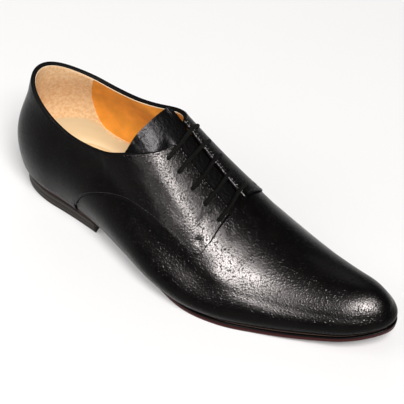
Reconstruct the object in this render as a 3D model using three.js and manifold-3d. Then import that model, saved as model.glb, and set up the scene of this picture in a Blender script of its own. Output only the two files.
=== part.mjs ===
// Derby shoe for the right foot, empty and standing on its heel and forefoot.
// Millimetres. +X runs from the heel to the toe, +Y to the inner side of the foot, +Z up, floor at z = 0.

import * as THREE from 'three';
import { mergeVertices } from 'three/addons/utils/BufferGeometryUtils.js';
import Module from 'manifold-3d';

const wasm = await Module();
wasm.setup();

// Driving sizes of the last
const LAST_LENGTH = 290;
const BALL_WIDTH = 100;
const INSTEP = 75;
const HEEL_LIFT = 11;
const TOE_SPRING = 17;

// Leather, sole and heel
const WALL = 2.0;
const LAYER = 1.1;
const CLEARANCE = 0.3;
const OUTSOLE = 4.2;
const INSOLE = 2.0;
const TONGUE = 1.8;
const FEATHER_ROUND = 6;
const HEEL_LENGTH = 77;
const HEEL_TAPER = 2.0;
const TOP_PIECE = 3.0;
const BREAST_HOLLOW = 3.5;

// Throat, facings and lace
const HALF_THROAT = 7.5;
const THROAT_ROUND = 3;
const VAMP_REACH = 4;
const LACE_ROWS = 5;
const FIRST_ROW_SHARE = 0.425;
const ROW_PITCH = 10.3;
const HOLE_INSET = 11;
const LACE = 2.4;
const LACE_HOLE = 3.8;
const LACE_BEND = 1.0;

// The places of the toe and heel curves, as shares of the last's length
const HEEL_ROUND_SHARE = 0.13;
const TOE_ROUND_SHARE = 0.9;
const TOE_POWER = 2.1;
const CREST_BACK_SHARE = 0.12;
const CREST_FRONT_SHARE = 0.925;
const CREST_SOFTNESS_SHARE = 0.05;
const SPRING_START_SHARE = 0.7;
const SPRING_POWER = 1.8;

// The wall's swell ends at this share of the section's height, and fades out there by this power
const SWELL_HEIGHT_SHARE = 0.56;
const SWELL_FADE = 4;

// The last in plan. "at" is a share of LAST_LENGTH. outer, inner, mid and bulge are shares of BALL_WIDTH:
// half widths to each side, the middle line and the swell of the wall. tuck and edge are millimetres: how far
// the wall turns in over the sole, and how far the sole's edge stands out from there.
const PLAN = [
  { at: 0.00, outer: 0.276, inner: 0.277, mid: -0.060, bulge: 0.049, tuck: 3.0, edge: 0.9 },
  { at: 0.08, outer: 0.292, inner: 0.295, mid: -0.024, bulge: 0.054, tuck: 3.0, edge: 0.9 },
  { at: 0.18, outer: 0.330, inner: 0.303, mid: 0.004, bulge: 0.060, tuck: 3.2, edge: 0.8 },
  { at: 0.28, outer: 0.385, inner: 0.300, mid: 0.020, bulge: 0.074, tuck: 4.2, edge: 0.8 },
  { at: 0.38, outer: 0.455, inner: 0.324, mid: 0.024, bulge: 0.084, tuck: 5.5, edge: 0.5 },
  { at: 0.48, outer: 0.525, inner: 0.394, mid: 0.022, bulge: 0.084, tuck: 4.5, edge: 1.5 },
  { at: 0.57, outer: 0.550, inner: 0.443, mid: 0.022, bulge: 0.069, tuck: 2.2, edge: 2.4 },
  { at: 0.66, outer: 0.505, inner: 0.433, mid: 0.020, bulge: 0.049, tuck: 1.2, edge: 2.4 },
  { at: 0.74, outer: 0.415, inner: 0.398, mid: 0.022, bulge: 0.035, tuck: 1.0, edge: 2.5 },
  { at: 0.82, outer: 0.328, inner: 0.337, mid: 0.027, bulge: 0.025, tuck: 1.0, edge: 2.8 },
  { at: 0.90, outer: 0.248, inner: 0.260, mid: 0.036, bulge: 0.020, tuck: 1.0, edge: 2.7 },
  { at: 1.00, outer: 0.163, inner: 0.180, mid: 0.060, bulge: 0.015, tuck: 1.0, edge: 2.6 },
];

// The last from the side. lift is a share of HEEL_LIFT: the sole's height over the floor. crest is a share of
// INSTEP: the height of the top line over the sole. full is the power of the section's curve.
const PROFILE = [
  { at: 0.00, lift: 1.00, crest: 1.600, full: 2.44 },
  { at: 0.08, lift: 1.00, crest: 1.635, full: 2.48 },
  { at: 0.18, lift: 0.97, crest: 1.565, full: 2.62 },
  { at: 0.28, lift: 0.78, crest: 1.445, full: 2.60 },
  { at: 0.38, lift: 0.46, crest: 1.240, full: 2.48 },
  { at: 0.48, lift: 0.18, crest: 0.970, full: 2.36 },
  { at: 0.57, lift: 0.02, crest: 0.745, full: 2.20 },
  { at: 0.66, lift: 0.00, crest: 0.580, full: 2.10 },
  { at: 0.74, lift: 0.00, crest: 0.490, full: 2.08 },
  { at: 0.82, lift: 0.00, crest: 0.432, full: 2.10 },
  { at: 0.90, lift: 0.00, crest: 0.384, full: 2.16 },
  { at: 1.00, lift: 0.00, crest: 0.290, full: 2.18 },
];

// Topline seen from the side: heights above the floor as shares of INSTEP, for the outer and inner quarter.
const TOPLINE = [
  { at: 0.00, outer: 1.290, inner: 1.290 },
  { at: 0.08, outer: 1.160, inner: 1.120 },
  { at: 0.18, outer: 1.035, inner: 1.030 },
  { at: 0.28, outer: 1.070, inner: 1.085 },
  { at: 0.36, outer: 1.195, inner: 1.225 },
  { at: 0.40, outer: 1.225, inner: 1.300 },
  { at: 0.46, outer: 1.250, inner: 1.380 },
];

// Lower seam and front edge of both quarters from the side: shares of LAST_LENGTH and INSTEP.
const QUARTER = [
  { at: 0.214, height: 0.00 },
  { at: 0.216, height: 0.20 },
  { at: 0.226, height: 0.36 },
  { at: 0.245, height: 0.51 },
  { at: 0.272, height: 0.62 },
  { at: 0.312, height: 0.71 },
  { at: 0.358, height: 0.762 },
  { at: 0.405, height: 0.772 },
  { at: 0.450, height: 0.748 },
  { at: 0.500, height: 0.685 },
  { at: 0.545, height: 0.608 },
  { at: 0.566, height: 0.585 },
  { at: 0.578, height: 0.610 },
  { at: 0.581, height: 0.660 },
];

// Tongue, as shares of the last's length: its top edge, how far that falls back at the sides, and the end
// under the vamp. The edge shares say how high on the last's section its side edges lie, at top and end.
const TONGUE_TOP_SHARE = 0.365;
const TONGUE_FALL_SHARE = 0.036;
const TONGUE_END_SHARE = 0.615;
const TONGUE_EDGE_TOP_SHARE = 0.5;
const TONGUE_EDGE_END_SHARE = 0.72;

// Number of sections from heel to toe and of rows from sole to crest, and of faces on the smaller shapes
const STATIONS = 32;
const ROWS = 16;
const CURVE_STEPS = 24;
const ROUND_STEPS = 6;
const HOLE_SIDES = 12;
const CORD_SIDES = 8;
const BREAST_SIDES = 180;
const STATIONS_PAST_BREAST = 2;
const TONGUE_LONG_STEPS = 14;
const TONGUE_WIDE_STEPS = 16;
const HALVINGS = 30;
const TURN_ROWS = [0, 0.15, 0.5, 1];
const OUTER = -1;
const INNER = 1;
const REACH = 200;

// Everything that is placed by its distance off the crest line lies above this turn
const LOWEST_TURN = 0.4;

const FEATHER = OUTSOLE + CLEARANCE;

// Smooth curve through one column of a table
function curve(table, column, at) {
  const rows = table.length;
  const u = THREE.MathUtils.clamp(at, table[0].at, table[rows - 1].at);
  let k = 0;
  while (k < rows - 2 && u >= table[k + 1].at) {
    k += 1;
  }
  const slope = (i) => (table[i + 1][column] - table[i][column]) / (table[i + 1].at - table[i].at);
  const span = (i) => table[i + 1].at - table[i].at;
  const tangent = (i) => {
    if (i === 0) {
      return slope(0);
    }
    if (i === rows - 1) {
      return slope(rows - 2);
    }
    return (slope(i - 1) * span(i) + slope(i) * span(i - 1)) / (span(i) + span(i - 1));
  };
  const h = span(k);
  const t = (u - table[k].at) / h;
  const start = (2 * t ** 3 - 3 * t ** 2 + 1) * table[k][column];
  const end = (3 * t ** 2 - 2 * t ** 3) * table[k + 1][column];
  return start + end + h * ((t ** 3 - 2 * t ** 2 + t) * tangent(k) + (t ** 3 - t ** 2) * tangent(k + 1));
}

const plan = (column, at) => curve(PLAN, column, at);
const profile = (column, at) => curve(PROFILE, column, at);

// Upper and lower soft limits
const softMax = (x, limit) => (x + limit + Math.hypot(x - limit, CREST_SOFTNESS_SHARE)) / 2;
const softMin = (x, limit) => (x + limit - Math.hypot(x - limit, CREST_SOFTNESS_SHARE)) / 2;

// Height of the sole's underside over the floor: lifted heel, flat forefoot, toe spring
function ground(x) {
  const at = x / LAST_LENGTH;
  const rise = Math.max(0, (at - SPRING_START_SHARE) / (1 - SPRING_START_SHARE)) ** SPRING_POWER;
  return Math.max(0, HEEL_LIFT * profile('lift', at)) + TOE_SPRING * rise;
}

// Round heel and toe: the half width as a share of what the table says
function ends(at) {
  let width = 1;
  if (at < HEEL_ROUND_SHARE) {
    width = Math.sqrt(Math.max(0, 1 - (1 - at / HEEL_ROUND_SHARE) ** 2));
  }
  if (at > TOE_ROUND_SHARE) {
    const v = Math.min(1, (at - TOE_ROUND_SHARE) / (1 - TOE_ROUND_SHARE));
    width = Math.max(0, 1 - v ** TOE_POWER) ** (1 / TOE_POWER);
  }
  return width;
}

// One section of the last: its widest plan point, its crest point and the plan direction between them
function section(at, side) {
  const half = plan(side === OUTER ? 'outer' : 'inner', at) * BALL_WIDTH * ends(at);
  const foot = new THREE.Vector2(at * LAST_LENGTH, plan('mid', at) * BALL_WIDTH + side * half);
  const top = softMin(softMax(at, CREST_BACK_SHARE), CREST_FRONT_SHARE);
  const x = top * LAST_LENGTH;
  const crest = new THREE.Vector3(x, plan('mid', top) * BALL_WIDTH, 0);
  crest.z = FEATHER + ground(x) + INSTEP * profile('crest', top);
  const out = new THREE.Vector2(foot.x - crest.x, foot.y - crest.y).normalize();
  return { foot, crest, out };
}

// Point of the last's surface. at runs from heel to toe, turn from the sole (0) up the side to the crest (1).
function lastPoint(at, turn, side) {
  if (turn > 1) {
    return lastPoint(at, 2 - turn, -side);
  }
  if (at < 0) {
    return lastPoint(-at, turn, -side);
  }
  if (at > 1) {
    return lastPoint(2 - at, turn, -side);
  }
  const { foot, crest, out } = section(at, side);
  const power = profile('full', at);
  const angle = Math.max(0, turn) * Math.PI / 2;
  const inward = 1 - Math.max(0, Math.cos(angle)) ** (2 / power);
  const upward = Math.sin(angle) ** (2 / power);
  const base = FEATHER + ground(foot.x);
  const z = THREE.MathUtils.lerp(base, crest.z, upward);
  const up = Math.min(1, upward / SWELL_HEIGHT_SHARE);
  const swell = plan('bulge', at) * BALL_WIDTH * Math.sin(Math.PI * up) * (1 - up ** SWELL_FADE);
  const low = THREE.MathUtils.clamp((z - base) / FEATHER_ROUND, 0, 1);
  const tuck = plan('tuck', at) * (1 - Math.sqrt(1 - (1 - low) ** 2));
  const x = THREE.MathUtils.lerp(foot.x, crest.x, inward) + out.x * (swell - tuck);
  const y = THREE.MathUtils.lerp(foot.y, crest.y, inward) + out.y * (swell - tuck);
  return new THREE.Vector3(x, y, z);
}

// Outward normal of the last's surface
function lastNormal(at, turn, side) {
  const step = 1e-4;
  const along = lastPoint(at + step, turn, side).sub(lastPoint(at - step, turn, side));
  const around = lastPoint(at, turn + step, side).sub(lastPoint(at, turn - step, side));
  return along.cross(around).multiplyScalar(-side).normalize();
}

// turn at which a section has risen by a given height
function turnAtHeight(at, side, height) {
  const { foot, crest } = section(at, side);
  const upward = height / (crest.z - FEATHER - ground(foot.x));
  return Math.asin(upward ** (profile('full', at) / 2)) / (Math.PI / 2);
}

// Sections close together at the heel and toe, where the outline turns
const stations = Array.from({ length: STATIONS }, (_, i) => (1 - Math.cos(Math.PI * i / (STATIONS - 1))) / 2);

// Rows close together where the wall turns in over the sole
function rowTurns(at, side) {
  const low = TURN_ROWS.map((part) => turnAtHeight(at, side, FEATHER_ROUND * part));
  const last = low[low.length - 1];
  const rest = ROWS - low.length;
  for (let i = 1; i <= rest; i += 1) {
    low.push(last + (1 - last) * i / rest);
  }
  return low;
}

function geometryFrom(points, faces) {
  const geometry = new THREE.BufferGeometry();
  const numbers = points.flatMap((p) => [p.x, p.y, p.z]);
  geometry.setAttribute('position', new THREE.Float32BufferAttribute(numbers, 3));
  geometry.setIndex(faces.flat());
  return geometry;
}

// Closed mesh to a solid that can be joined and cut
function solid(geometry) {
  const bare = geometry.clone();
  bare.deleteAttribute('normal');
  bare.deleteAttribute('uv');
  const merged = mergeVertices(bare, 1e-5);
  return new wasm.Manifold(new wasm.Mesh({
    numProp: 3,
    vertProperties: new Float32Array(merged.attributes.position.array),
    triVerts: new Uint32Array(merged.index.array),
  }));
}

function geometryOf(body) {
  const mesh = body.getMesh();
  const geometry = new THREE.BufferGeometry();
  geometry.setAttribute('position', new THREE.BufferAttribute(new Float32Array(mesh.vertProperties), 3));
  geometry.setIndex(new THREE.BufferAttribute(new Uint32Array(mesh.triVerts), 1));
  const flat = geometry.toNonIndexed();
  flat.computeVertexNormals();
  return flat;
}

// The whole last grown by an offset (or shrunk by a negative one), closed underneath. drop carries the lowest
// row on downwards, for a cutter that opens the upper's underside.
function lastForm(offset, drop) {
  const ring = [];
  stations.forEach((at) => ring.push({ at, side: OUTER }));
  stations.slice(1, -1).reverse().forEach((at) => ring.push({ at, side: INNER }));
  const columns = ring.length;
  const wallRows = ROWS - 1;
  const points = [];
  const turns = ring.map(({ at, side }) => rowTurns(at, side));
  for (let row = 0; row < wallRows; row += 1) {
    ring.forEach(({ at, side }, column) => points.push(lastPoint(at, turns[column][row], side)));
  }
  const crestStart = points.length;
  stations.forEach((at) => points.push(lastPoint(at, 1, OUTER)));
  const crestOf = (column) => crestStart + (column < STATIONS ? column : columns - column);
  const faces = [];
  for (let row = 0; row < wallRows; row += 1) {
    for (let column = 0; column < columns; column += 1) {
      const next = (column + 1) % columns;
      const a = row * columns + column;
      const b = row * columns + next;
      const top = row + 1 === wallRows;
      const c = top ? crestOf(next) : b + columns;
      const d = top ? crestOf(column) : a + columns;
      faces.push([a, b, c], [a, c, d]);
    }
  }
  const skin = geometryFrom(points, faces);
  skin.computeVertexNormals();
  const normals = skin.attributes.normal;
  const moved = points.map((point, i) => {
    const normal = new THREE.Vector3().fromBufferAttribute(normals, i);
    if (i < columns) {
      normal.setZ(0).normalize();
    }
    return point.clone().addScaledVector(normal, offset);
  });
  let lowest = 0;
  if (drop > 0) {
    lowest = moved.length;
    for (let column = 0; column < columns; column += 1) {
      moved.push(moved[column].clone().setZ(moved[column].z - drop));
    }
    for (let column = 0; column < columns; column += 1) {
      const next = (column + 1) % columns;
      faces.push([lowest + column, lowest + next, next], [lowest + column, next, column]);
    }
  }
  for (let column = 0; column < STATIONS - 1; column += 1) {
    const a = lowest + column;
    const b = lowest + column + 1;
    const c = lowest + (columns - column - 1) % columns;
    const d = lowest + (columns - column) % columns;
    if (b !== c) {
      faces.push([b, a, c]);
    }
    if (a !== d) {
      faces.push([c, a, d]);
    }
  }
  return solid(geometryFrom(moved, faces));
}

// Prism with a side-view outline, between two planes of constant y
function sidePrism(outline, from, to) {
  const thick = { depth: to - from, bevelEnabled: false };
  const geometry = new THREE.ExtrudeGeometry(new THREE.Shape(outline), thick);
  geometry.rotateX(Math.PI / 2);
  geometry.translate(0, to, 0);
  return solid(geometry);
}

// Prism with a plan outline, between two heights
function planPrism(outline, from, to) {
  const thick = { depth: to - from, bevelEnabled: false };
  const geometry = new THREE.ExtrudeGeometry(new THREE.Shape(outline), thick);
  geometry.translate(0, 0, from);
  return solid(geometry);
}

// What lies above one side's topline
function collarCutter(side) {
  const column = side === OUTER ? 'outer' : 'inner';
  const last = TOPLINE[TOPLINE.length - 1].at;
  const outline = [new THREE.Vector2(-REACH, REACH)];
  outline.push(new THREE.Vector2(-REACH, TOPLINE[0][column] * INSTEP));
  for (let i = 0; i <= CURVE_STEPS; i += 1) {
    const at = last * i / CURVE_STEPS;
    outline.push(new THREE.Vector2(at * LAST_LENGTH, curve(TOPLINE, column, at) * INSTEP));
  }
  outline.push(new THREE.Vector2(last * LAST_LENGTH, REACH));
  const middle = lastPoint(FIRST_ROW_SHARE, 1, OUTER).y;
  const past = middle - side * CLEARANCE;
  return side === OUTER ? sidePrism(outline, -REACH, past) : sidePrism(outline, past, REACH);
}

// Slot between the facings in plan, from inside the collar to a front end with round corners
function throatCutter(front) {
  const back = CREST_BACK_SHARE * LAST_LENGTH;
  const places = [];
  for (let i = 0; i < CURVE_STEPS; i += 1) {
    places.push(THREE.MathUtils.lerp(back, front - THROAT_ROUND, i / CURVE_STEPS));
  }
  for (let i = 0; i <= ROUND_STEPS; i += 1) {
    places.push(front - THROAT_ROUND * (1 - Math.sin(Math.PI / 2 * i / ROUND_STEPS)));
  }
  const left = [];
  const right = [];
  places.forEach((x) => {
    const middle = plan('mid', x / LAST_LENGTH) * BALL_WIDTH;
    const corner = Math.max(0, THROAT_ROUND - (front - x));
    const half = HALF_THROAT - THROAT_ROUND + Math.sqrt(THROAT_ROUND ** 2 - corner ** 2);
    left.push(new THREE.Vector2(x, middle - half));
    right.push(new THREE.Vector2(x, middle + half));
  });
  const low = FEATHER + HEEL_LIFT + INSOLE + CLEARANCE;
  return planPrism([...left, ...right.reverse()], low, REACH);
}

const quarterFront = QUARTER[QUARTER.length - 1].at * LAST_LENGTH;

// Both quarters: the skin between the last grown by their leather and the last itself, behind the seam
function quarters() {
  const seam = QUARTER.map((row) => new THREE.Vector2(row.at * LAST_LENGTH, row.height * INSTEP));
  const outline = new THREE.SplineCurve(seam).getPoints(2 * seam.length);
  outline.push(new THREE.Vector2(quarterFront, REACH));
  outline.push(new THREE.Vector2(-REACH, REACH));
  outline.push(new THREE.Vector2(-REACH, -REACH));
  outline.push(new THREE.Vector2(seam[0].x, -REACH));
  return lastForm(LAYER, 0).intersect(sidePrism(outline, -REACH, REACH)).subtract(throatCutter(REACH));
}

// Point over the last at a plan distance off the crest line, lifted off its surface
function overLast(at, off, lift) {
  const side = off < 0 ? OUTER : INNER;
  const middle = lastPoint(at, 1, side).y;
  let low = LOWEST_TURN;
  let high = 1;
  for (let i = 0; i < HALVINGS; i += 1) {
    const turn = (low + high) / 2;
    if (Math.abs(lastPoint(at, turn, side).y - middle) > Math.abs(off)) {
      low = turn;
    } else {
      high = turn;
    }
  }
  return lastPoint(at, high, side).addScaledVector(lastNormal(at, high, side), lift);
}

const holeOff = HALF_THROAT + HOLE_INSET;
const laceRows = Array.from({ length: LACE_ROWS }, (_, i) => FIRST_ROW_SHARE + i * ROW_PITCH / LAST_LENGTH);

// Straight round cutter through the facing for one lace hole
function laceHole(at, side) {
  const depth = WALL + LACE;
  const geometry = new THREE.CylinderGeometry(LACE_HOLE / 2, LACE_HOLE / 2, 2 * depth, HOLE_SIDES);
  const foot = overLast(at, side * holeOff, 0);
  const direction = overLast(at, side * holeOff, 1).sub(foot).normalize();
  const turned = new THREE.Quaternion().setFromUnitVectors(new THREE.Vector3(0, 1, 0), direction);
  geometry.applyQuaternion(turned);
  geometry.translate(foot.x, foot.y, foot.z);
  return solid(geometry);
}

function upper() {
  let body = lastForm(0, 0).add(quarters());
  body = body.subtract(lastForm(-WALL, FEATHER + HEEL_LIFT + TOE_SPRING));
  body = body.subtract(collarCutter(OUTER)).subtract(collarCutter(INNER));
  body = body.subtract(throatCutter(quarterFront - VAMP_REACH));
  laceRows.forEach((at) => {
    body = body.subtract(laceHole(at, OUTER)).subtract(laceHole(at, INNER));
  });
  return geometryOf(body);
}

// The feather line in plan, moved outwards (or inwards) along its own normal
function featherPoint(at, side, out) {
  const step = 1e-4;
  const point = lastPoint(at, 0, side);
  const along = lastPoint(at + step, 0, side).sub(lastPoint(at - step, 0, side));
  const normal = new THREE.Vector2(along.y, -along.x).multiplyScalar(-side).normalize();
  return new THREE.Vector2(point.x + normal.x * out, point.y + normal.y * out);
}

// Flat piece that follows the sole's curve: outline from edge(at, side), heights from top(x) and bottom(x)
function soleSlab(places, edge, top, bottom) {
  const points = [];
  const faces = [];
  const ladder = (height) => {
    const start = points.length;
    places.forEach((at) => {
      [OUTER, INNER].forEach((side) => {
        const p = edge(at, side);
        points.push(new THREE.Vector3(p.x, p.y, height(p.x)));
      });
    });
    return start;
  };
  const high = ladder(top);
  const low = ladder(bottom);
  for (let i = 0; i < places.length - 1; i += 1) {
    const [a, b, c, d] = [2 * i, 2 * i + 2, 2 * i + 3, 2 * i + 1];
    faces.push([high + a, high + b, high + c], [high + a, high + c, high + d]);
    faces.push([low + a, low + c, low + b], [low + a, low + d, low + c]);
    faces.push([low + a, low + b, high + b], [low + a, high + b, high + a]);
    faces.push([low + c, low + d, high + d], [low + c, high + d, high + c]);
  }
  const end = 2 * places.length - 2;
  faces.push([high, high + 1, low + 1], [high, low + 1, low]);
  faces.push([high + end + 1, high + end, low + end], [high + end + 1, low + end, low + end + 1]);
  return geometryFrom(points, faces);
}

// The end stations stand just inside heel and toe, so that both edges there are short straight lines
const soleStations = stations.map((at) => THREE.MathUtils.clamp(at, stations[1] / 4, 1 - stations[1] / 4));

function insole() {
  const edge = (at, side) => featherPoint(at, side, -WALL - CLEARANCE);
  const under = (x) => FEATHER + ground(x);
  return soleSlab(soleStations, edge, (x) => under(x) + INSOLE, under);
}

function outsole() {
  const edge = (at, side) => featherPoint(at, side, plan('edge', at));
  return soleSlab(soleStations, edge, (x) => ground(x) + OUTSOLE, ground);
}

// Heel layer between two heights, cut off at the hollow breast
function heelLayer(top, bottom, inset) {
  const past = STATIONS_PAST_BREAST + soleStations.filter((at) => at * LAST_LENGTH < HEEL_LENGTH).length;
  const places = soleStations.slice(0, past);
  const edge = (at, side) => featherPoint(at, side, plan('edge', at) - inset);
  const body = solid(soleSlab(places, edge, top, bottom));
  const radius = (BALL_WIDTH / 2) ** 2 / (2 * BREAST_HOLLOW);
  const breast = new THREE.CylinderGeometry(radius, radius, REACH, BREAST_SIDES);
  breast.rotateX(Math.PI / 2);
  breast.translate(HEEL_LENGTH - BREAST_HOLLOW + radius, 0, 0);
  return geometryOf(body.subtract(solid(breast)));
}

function heelBase() {
  return heelLayer((x) => ground(x) - CLEARANCE, () => TOP_PIECE, 0);
}

function heelTopPiece() {
  return heelLayer(() => TOP_PIECE, () => 0, HEEL_TAPER / 2);
}

// Depth of the tongue's face below the last's surface: near the surface in the throat, lower under the
// facings, where the lace runs between them
function tongueDepth(off) {
  const rise = THREE.MathUtils.smoothstep(Math.abs(off), HALF_THROAT, HALF_THROAT + HOLE_INSET / 2);
  return WALL + CLEARANCE + rise * (LACE + CLEARANCE);
}

function tongue() {
  const alongSteps = TONGUE_LONG_STEPS;
  const acrossSteps = TONGUE_WIDE_STEPS;
  const points = [];
  const faces = [];
  const layer = (extra) => {
    for (let i = 0; i <= alongSteps; i += 1) {
      for (let j = 0; j <= acrossSteps; j += 1) {
        const across = 2 * j / acrossSteps - 1;
        const side = across < 0 ? OUTER : INNER;
        const start = TONGUE_TOP_SHARE - TONGUE_FALL_SHARE * across ** 2;
        const at = THREE.MathUtils.lerp(start, TONGUE_END_SHARE, i / alongSteps);
        const edge = THREE.MathUtils.lerp(TONGUE_EDGE_TOP_SHARE, TONGUE_EDGE_END_SHARE, i / alongSteps);
        const turn = 1 - (1 - edge) * Math.abs(across);
        const point = lastPoint(at, turn, side);
        const depth = tongueDepth(point.y - lastPoint(at, 1, side).y) + extra;
        points.push(point.addScaledVector(lastNormal(at, turn, side), -depth));
      }
    }
  };
  layer(0);
  const back = points.length;
  layer(TONGUE);
  const row = acrossSteps + 1;
  for (let i = 0; i < alongSteps; i += 1) {
    for (let j = 0; j < acrossSteps; j += 1) {
      const a = i * row + j;
      const b = back + a;
      faces.push([a, a + row, a + row + 1], [a, a + row + 1, a + 1]);
      faces.push([b, b + row + 1, b + row], [b, b + 1, b + row + 1]);
    }
  }
  const wallStrip = (a, b) => faces.push([a, b, back + b], [a, back + b, back + a]);
  for (let j = 0; j < acrossSteps; j += 1) {
    wallStrip(j, j + 1);
    wallStrip(alongSteps * row + j + 1, alongSteps * row + j);
  }
  for (let i = 0; i < alongSteps; i += 1) {
    wallStrip((i + 1) * row, i * row);
    wallStrip(i * row + acrossSteps, (i + 1) * row + acrossSteps);
  }
  return geometryFrom(points, faces);
}

// Path that a round cord follows exactly from point to point
class CordPath extends THREE.Curve {
  constructor(points) {
    super();
    this.points = points;
  }

  getPoint(t) {
    const last = this.points.length - 1;
    const place = t * last;
    const i = Math.min(last - 1, Math.floor(place + 1e-9));
    return this.points[i].clone().lerp(this.points[i + 1], place - i);
  }

  getPointAt(t) {
    return this.getPoint(t);
  }

  getTangentAt(t) {
    const last = this.points.length - 1;
    const i = Math.round(t * last);
    const before = this.points[Math.max(0, i - 1)];
    const after = this.points[Math.min(last, i + 1)];
    return after.clone().sub(before).normalize();
  }
}

// One bar from hole to hole: up through the facing, over it, across the throat and down again
function barPoints(at, fromSide) {
  const radius = LACE / 2;
  const over = LAYER + CLEARANCE + radius;
  const under = -(WALL + CLEARANCE + radius);
  const bend = LACE_BEND;
  const half = [
    [holeOff, under],
    [holeOff, over - 2 * bend],
    [holeOff - bend / 2, over - bend / 2],
    [holeOff - 1.5 * bend, over],
    [(holeOff + HALF_THROAT) / 2, over],
    [HALF_THROAT, over],
  ];
  const first = half.map(([off, lift]) => overLast(at, fromSide * off, lift));
  const second = half.map(([off, lift]) => overLast(at, -fromSide * off, lift)).reverse();
  return [...first, ...second];
}

// The lace as one piece: five straight bars, joined by hidden runs under the facings. The end of the last
// bar goes back up under the inner facing to the top hole.
function laces() {
  const radius = LACE / 2;
  const under = -(WALL + CLEARANCE + radius);
  const points = [];
  laceRows.forEach((at, i) => {
    points.push(...barPoints(at, i % 2 === 0 ? OUTER : INNER));
  });
  const aside = holeOff + LACE + CLEARANCE;
  const returnPlaces = [...laceRows].reverse();
  returnPlaces.forEach((at, i) => {
    const shift = i === 0 ? LACE / LAST_LENGTH : 0;
    points.push(overLast(at - shift, aside, under));
  });
  const round = new THREE.Shape(Array.from({ length: CORD_SIDES }, (_, i) => {
    const angle = 2 * Math.PI * (i + 0.5) / CORD_SIDES;
    return new THREE.Vector2(radius * Math.cos(angle), radius * Math.sin(angle));
  }));
  const path = new CordPath(points);
  const run = { steps: points.length - 1, extrudePath: path, bevelEnabled: false };
  return new THREE.ExtrudeGeometry(round, run);
}

const blackCalf = new THREE.MeshStandardMaterial({ color: 0x1c1a1a, roughness: 0.35, metalness: 0 });
const tongueCalf = new THREE.MeshStandardMaterial({ color: 0x201e1e, roughness: 0.45, metalness: 0 });
const creamLeather = new THREE.MeshStandardMaterial({ color: 0xe6cba0, roughness: 0.7, metalness: 0 });
const soleLeather = new THREE.MeshStandardMaterial({ color: 0x2a1615, roughness: 0.4, metalness: 0 });
const heelStack = new THREE.MeshStandardMaterial({ color: 0x32291f, roughness: 0.5, metalness: 0 });
const heelRubber = new THREE.MeshStandardMaterial({ color: 0x26221f, roughness: 0.8, metalness: 0 });
const waxedCord = new THREE.MeshStandardMaterial({ color: 0x191916, roughness: 0.6, metalness: 0 });

const shoe = new THREE.Group();

function addPiece(name, geometry, material) {
  const mesh = new THREE.Mesh(geometry, material);
  mesh.name = name;
  shoe.add(mesh);
}

addPiece('upper', upper(), blackCalf);
addPiece('tongue', tongue(), tongueCalf);
addPiece('insole', insole(), creamLeather);
addPiece('outsole', outsole(), soleLeather);
addPiece('heel_base', heelBase(), heelStack);
addPiece('heel_top_piece', heelTopPiece(), heelRubber);
addPiece('laces', laces(), waxedCord);

// The origin is under the middle of the shoe's box, on the floor
const box = new THREE.Box3().setFromObject(shoe);
shoe.position.set(-(box.min.x + box.max.x) / 2, -(box.min.y + box.max.y) / 2, 0);

export default shoe;
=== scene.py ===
"""Looks of the derby shoe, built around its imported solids. Lengths are millimetres on the last until a
piece is finished, when its mesh is put into the shoe's own frame in metres."""

import math

import bmesh
import bpy
import numpy as np
from mathutils import Matrix, Vector


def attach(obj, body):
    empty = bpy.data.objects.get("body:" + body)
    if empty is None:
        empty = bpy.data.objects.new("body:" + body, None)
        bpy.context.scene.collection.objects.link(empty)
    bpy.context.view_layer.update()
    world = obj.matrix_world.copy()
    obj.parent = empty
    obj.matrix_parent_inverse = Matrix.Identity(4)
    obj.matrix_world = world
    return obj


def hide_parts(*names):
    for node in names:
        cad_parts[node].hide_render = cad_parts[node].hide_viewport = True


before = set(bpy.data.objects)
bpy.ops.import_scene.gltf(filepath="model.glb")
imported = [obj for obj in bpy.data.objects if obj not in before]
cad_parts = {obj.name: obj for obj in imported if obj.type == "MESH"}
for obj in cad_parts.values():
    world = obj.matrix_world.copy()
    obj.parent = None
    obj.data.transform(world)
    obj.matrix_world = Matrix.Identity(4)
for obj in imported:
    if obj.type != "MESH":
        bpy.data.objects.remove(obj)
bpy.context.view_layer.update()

# Camera, as in the photograph: degrees, millimetres and the photograph's own pixels
VIEW_AZIMUTH = 30.79
VIEW_ELEVATION = 44.62
VIEW_ROLL = 5.28
VIEW_DISTANCE = 1002.79
FOCAL_PIXELS = 1504.04
PHOTO_SIDE = 404
SENSOR = 36
AIM = (1.14, -1.08, 50.63)

# The last: where its heel stands in the shoe's frame, and its driving sizes
MM = 0.001
HEEL_AT = (-143.104, 3.264)
LAST_LENGTH = 290
BALL_WIDTH = 100
INSTEP = 75
HEEL_LIFT = 11
TOE_SPRING = 17
WALL = 2.0
LAYER = 1.1
CLEARANCE = 0.3
OUTSOLE = 4.2
INSOLE = 2.0
TONGUE = 1.8
FEATHER_ROUND = 6
FEATHER = OUTSOLE + CLEARANCE
HEEL_LENGTH = 77
HEEL_TAPER = 2.0
TOP_PIECE = 3.0
BREAST_HOLLOW = 3.5
HALF_THROAT = 7.5
HOLE_INSET = 11
LACE = 2.4
LACE_BEND = 1.0
CORD_PITCH = 1.5
CORD_PROUD = 0.25
WORN_TOP = 36
WORN_FALL = 9.5
LIFT = 2.6
HEEL_ROUND = 0.13
TOE_ROUND = 0.9
TOE_POWER = 2.1
CREST_BACK = 0.12
CREST_FRONT = 0.925
CREST_SOFTNESS = 0.05
SPRING_START = 0.7
SPRING_POWER = 1.8
SWELL_HEIGHT = 0.56
SWELL_FADE = 4
QUARTER_FRONT = 0.581
THROAT_BACK = 0.3
FACING_BLEND = 0.012
VAMP_BACK = 0.567
OUTER = -1
INNER = 1
HALVINGS = 36
LENGTH_SAMPLES = 240

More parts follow.
